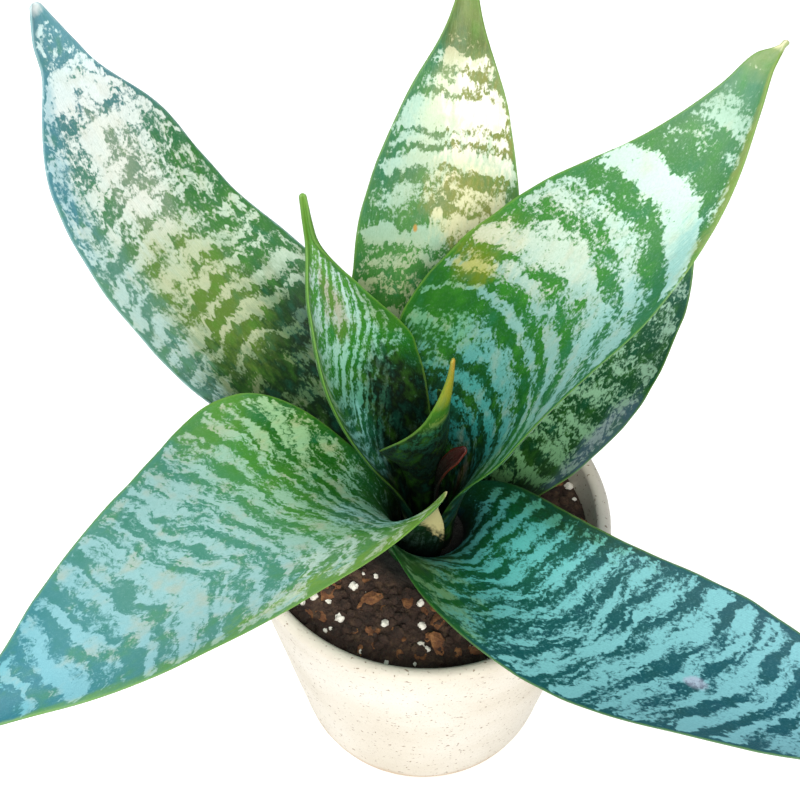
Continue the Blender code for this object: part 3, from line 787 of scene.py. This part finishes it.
def scalePaint():
    paint = Paint("scale_skin")
    along = paint.split(paint.attribute("place"))[1]
    x, y, inset = paint.split(paint.attribute("size"))
    streak = paint.noise(paint.vector(x / 0.3, y / 4, 1.5), 3)
    colour = paint.colours(along + streak * 0.3, redScale["colours"])
    rim = (1 - paint.step(inset + streak * 0.6, 0, 0.15)) * paint.step(along, 0.6, 0.9)
    colour = paint.mix(rim, colour, tint(redScale["margin"]))
    normal = paint.relief(streak, 0.0002)
    return paint.finish(Base_Color=colour, Roughness=0.45 + streak * 0.3, Normal=normal)


points, place, size = leafSurface(redScale, redScale["rows"], redScale["columns"])
mesh = skinOverGrid("scale_leaf_blade", points, {"place": place, "size": size})
addPiece(mesh, scalePaint(), "red_scale", "scale_leaf")
print("scale made")


# Soil: a solid of its own with a hole for the stem, its top uneven, and loose grains lying on it

soil = {
    "wallTop": 44.6, "wallFoot": 32.5, "stemHole": 20.4, "crown": 7.5, "holeFloor": 45.7, "foot": 5.3,
    "coneHeight": 81.3, "coneSlope": 0.4545, "edgeLevel": 77.6, "middleLevel": 79.0,
    "grains": 1500, "bark": 150, "perlite": 110, "seed": 11, "looseFrom": 19.5, "looseTo": 43.6,
    "shade": "#060a05", "shadeReach": (0.014, 0.02),
    "earthColours": [(0.1, "#1c120b"), (0.5, "#33221a"), (0.9, "#54402f")],
    "barkColours": [(0.1, "#3a2014"), (0.5, "#6b4428"), (0.9, "#94683f")],
    "perliteColours": [(0.1, "#b9b4a8"), (0.5, "#dedbd2"), (0.9, "#f4f2ec")],
}


def soilTop(x, y):
    # height in millimetres of the uneven surface, lower at the wall, with lumps of three sizes
    r = np.hypot(x, y)
    plain = soil["middleLevel"] + (soil["edgeLevel"] - soil["middleLevel"]) * (r / soil["wallTop"]) ** 2
    coarse, medium, fine = lumpField(x, y, 9, 1), lumpField(x, y, 3.2, 2), lumpField(x, y, 1.3, 3)
    return plain + 0.8 * coarse + 0.5 * medium + 0.3 * fine


def soilBed():
    # a closed profile turned round Z, from the floor of the stem's hole over the top to the pot's floor
    columns = 300
    turn = np.linspace(0, 2 * np.pi, columns, endpoint=False)[None]
    coneRadius = np.linspace(soil["stemHole"], soil["crown"], 12)
    topRadius = np.linspace(soil["crown"], soil["wallTop"], 110)
    wallHeight = np.linspace(soil["edgeLevel"] - 1, soil["foot"], 14)
    wallRadius = np.linspace(soil["wallTop"], soil["wallFoot"], 14)
    radius = np.concatenate([[0.5, soil["stemHole"]], coneRadius, topRadius, wallRadius, [0.5]])
    cone = soil["coneHeight"] - soil["coneSlope"] * coneRadius
    height = np.concatenate([[soil["holeFloor"]] * 2, cone, 0 * topRadius, wallHeight, [soil["foot"]]])
    x, y = radius[:, None] * np.cos(turn), radius[:, None] * np.sin(turn)
    z = height[:, None] + 0 * x
    top = slice(2 + len(coneRadius), 2 + len(coneRadius) + len(topRadius))
    z[top] = soilTop(x[top], y[top])
    return np.stack([x, y, z], -1) * mm


def scatter(name, count, sizes, stretch, seed, rounds, squash):
    # copies of one small ball, each stretched, dented and turned at random, lying on the soil
    draw = np.random.default_rng(seed)
    ball = bmesh.new()
    bmesh.ops.create_icosphere(ball, subdivisions=rounds, radius=1)
    core = np.array([v.co[:] for v in ball.verts])
    faces = np.array([[v.index for v in f.verts] for f in ball.faces])
    ball.free()
    radius = np.sqrt(draw.uniform(soil["looseFrom"]**2, soil["looseTo"]**2, count))
    turn = draw.uniform(0, 2 * np.pi, count)
    x, y = radius * np.cos(turn), radius * np.sin(turn)
    size = sizes[0] + (sizes[1] - sizes[0]) * draw.uniform(0, 1, count) ** 2.5
    dents = draw.uniform(0.72, 1.2, (count, len(core), 1))
    ones = np.ones(count)
    longways = np.stack([stretch * ones, ones, squash * draw.uniform(0.6, 1, count)], -1)
    lumps = core[None] * dents * size[:, None, None] / 2 * longways[:, None]
    spin, tip = draw.uniform(0, 2 * np.pi, count), draw.uniform(-0.5, 0.5, count)
    cosTip, sinTip = np.cos(tip)[:, None], np.sin(tip)[:, None]
    a = lumps[..., 0] * cosTip - lumps[..., 2] * sinTip
    b = lumps[..., 1]
    c = lumps[..., 0] * sinTip + lumps[..., 2] * cosTip
    cosSpin, sinSpin = np.cos(spin)[:, None], np.sin(spin)[:, None]
    px = x[:, None] + a * cosSpin - b * sinSpin
    py = y[:, None] + a * sinSpin + b * cosSpin
    pz = (soilTop(x, y) + 0.12 * size)[:, None] + c
    points = np.stack([px, py, pz], -1).reshape(-1, 3) * mm
    every = (faces[None] + (np.arange(count) * len(core))[:, None, None]).reshape(-1, 3)
    mesh = bpy.data.meshes.new(name)
    mesh.from_pydata(points.tolist(), [], every.tolist())
    return mesh


def earthPaint(name, colours, fineness, depth):
    paint = Paint(name)
    where = paint.objectPlace()
    x, y = paint.split(where)[:2]
    fromAxis = paint.add("ShaderNodeVectorMath", {"operation": "LENGTH"}, {0: paint.vector(x, y, 0)}, 1)
    big = paint.grain(where, fineness, 4, 0.6)
    small = paint.grain(where, fineness * 5, 4, 0.7)
    colour = paint.colours(0.5 + big * 1.6 + small * 0.8, colours)
    colour = paint.mix(1 - paint.step(fromAxis, *soil["shadeReach"]), colour, tint(soil["shade"]))
    height = big + small * 0.6
    return paint.finish(Base_Color=colour, Roughness=0.86 + small * 0.25, Normal=paint.relief(height, depth))


darkEarth = earthPaint("soil_earth", soil["earthColours"], 260, 0.0012)
barkBrown = earthPaint("bark_chips", soil["barkColours"], 420, 0.0005)
perliteWhite = earthPaint("perlite_white", soil["perliteColours"], 500, 0.0004)
addPiece(skinOverGrid("soil_bed", soilBed()), darkEarth, "potting_soil", "soil")
loose = [
    # name, how many, sizes, stretch, squash, material
    ("soil_grains", soil["grains"], (0.7, 3.2), 1.15, 1.0, darkEarth),
    ("bark_chips", soil["bark"], (1.6, 4.6), 1.7, 0.45, barkBrown),
    ("perlite_grains", soil["perlite"], (1.0, 3.0), 1.1, 1.0, perliteWhite),
]
for i, (name, count, sizes, stretch, squash, material) in enumerate(loose):
    addPiece(scatter(name, count, sizes, stretch, soil["seed"] + i, 2, squash), material, "potting_soil")
print("soil made")


# Pot: thrown stoneware, a turned profile with faint rings on its wall

pot = {
    "height": 88, "lipRadius": 50, "footRadius": 36, "wall": 4, "floor": 5, "footRound": 2.5,
    "innerRound": 3, "drainHoles": 4, "drainRadius": 4, "drainRing": 21, "columns": 192,
    "glaze": [(0.2, "#d9d0bf"), (0.5, "#e6dfd1"), (0.8, "#efeae0")], "dim": 0.66, "speck": "#6f5a44",
    "flatRings": (0.5, 15, 27), "bareFoot": "#a98d6f",
}


def potProfile():
    lip, bowl = pot["wall"] / 2, pot["innerRound"]

    def wallRadius(height):
        return pot["footRadius"] + (pot["lipRadius"] - pot["footRadius"]) * height / pot["height"]

    def corner(centreRadius, centreHeight, radius, start, end, pieces):
        angle = np.radians(np.linspace(start, end, pieces + 1))
        return np.stack([centreRadius + radius * np.cos(angle), centreHeight + radius * np.sin(angle)], -1)

    floor = np.array([(radius, pot["floor"]) for radius in pot["flatRings"]])
    low = pot["floor"] + bowl
    inner = corner(wallRadius(low) - pot["wall"] - bowl, low, bowl, -90, 0, 6)
    rim = corner(pot["lipRadius"] - lip, pot["height"] - lip, lip, 180, 0, 14)
    height = np.linspace(pot["height"] - lip - 1, pot["footRound"] + 1, 90)
    ripple = 0.07 * np.sin(height * 1.9) + 0.05 * np.sin(height * 0.83 + 1)     # rings 3.3 and 7.6 mm apart
    outer = np.stack([wallRadius(height) + ripple - 0.12, height], -1)
    foot = corner(pot["footRadius"] - pot["footRound"], pot["footRound"], pot["footRound"], 0, -90, 8)
    under = np.array([(radius, 0) for radius in pot["flatRings"][::-1]])
    return np.vstack([floor, inner, rim, outer, foot, under])


def potMesh():
    profile = potProfile()
    turn = np.linspace(0, 2 * np.pi, pot["columns"], endpoint=False)[None]
    radius, height = profile[:, :1], profile[:, 1:]
    points = np.stack([radius * np.cos(turn), radius * np.sin(turn), height + 0 * turn], -1) * mm
    whole = bpy.data.objects.new("pot_whole", skinOverGrid("pot_whole", points))
    bpy.context.scene.collection.objects.link(whole)
    drills = []
    for i in range(pot["drainHoles"]):
        angle = 2 * math.pi * (i + 0.5) / pot["drainHoles"]
        plug = bmesh.new()
        size = pot["drainRadius"] * mm
        bmesh.ops.create_cone(plug, cap_ends=True, segments=32, radius1=size, radius2=size, depth=20 * mm)
        drillMesh = bpy.data.meshes.new("drill")
        plug.to_mesh(drillMesh)
        plug.free()
        drill = bpy.data.objects.new("drill", drillMesh)
        ring = pot["drainRing"] * mm
        drill.location = (ring * math.cos(angle), ring * math.sin(angle), 0)
        bpy.context.scene.collection.objects.link(drill)
        cut = whole.modifiers.new("drain", "BOOLEAN")
        cut.operation, cut.solver, cut.object = "DIFFERENCE", "EXACT", drill
        drills.append(drill)
    bpy.context.view_layer.update()
    seen = whole.evaluated_get(bpy.context.evaluated_depsgraph_get())
    mesh = bpy.data.meshes.new_from_object(seen)
    mesh.name = "pot_stoneware"
    mesh.shade_smooth()
    mesh.set_sharp_from_angle(angle=math.radians(40))
    for thing in [whole] + drills:
        bpy.data.objects.remove(thing)
    return mesh


def potPaint():
    paint = Paint("pot_glaze")
    where = paint.objectPlace()
    z = paint.split(where)[2]
    cloud = paint.grain(where, 28, 3)
    colour = paint.colours(0.5 + cloud * 1.5, pot["glaze"], pot["dim"])
    dots = paint.step(paint.grain(where, 900, 1), 0.17, 0.22)
    dots = dots + paint.step(paint.grain(where, 2200, 1), 0.2, 0.24) * 0.6
    colour = paint.mix(dots * 0.75, colour, tint(pot["speck"]))
    bare = 1 - paint.step(z + paint.grain(where, 90, 2) * 0.004, 0.003, 0.0055)
    colour = paint.mix(bare * 0.55, colour, tint(pot["bareFoot"]))
    fine = paint.grain(where, 1500, 2)
    height = fine * 0.5 + cloud + dots * 0.2
    rough = 0.55 + fine * 0.2 + bare * 0.25
    return paint.finish(Base_Color=colour, Roughness=rough, Normal=paint.relief(height, 0.0003))


addPiece(potMesh(), potPaint(), "pot_ceramic", "pot")
print("pot made")


# Stem: the CAD solid stays, with a bark-like skin ringed by old leaf scars

stem = {"bark": [(0.1, "#3b2413"), (0.5, "#8a5a2c"), (0.9, "#c08a4c")]}


def stemPaint():
    paint = Paint("rhizome_bark")
    where = paint.objectPlace()
    x, y, z = paint.split(where)
    rough = paint.grain(where, 180, 4, 0.6)
    ringed = paint.noise(paint.vector(x * 40, y * 40, z * 700), 3)
    colour = paint.colours(0.5 + rough * 1.2 + ringed * 0.9, stem["bark"])
    normal = paint.relief(rough + ringed, 0.001)
    return paint.finish(Base_Color=colour, Roughness=0.7 + rough * 0.3, Normal=normal)


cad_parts["rhizome"].material_slots[0].material = stemPaint()
print("stem painted")

sizes = {"cad": [list(c) for c in cadBox], "visual": [list(c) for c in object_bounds()]}
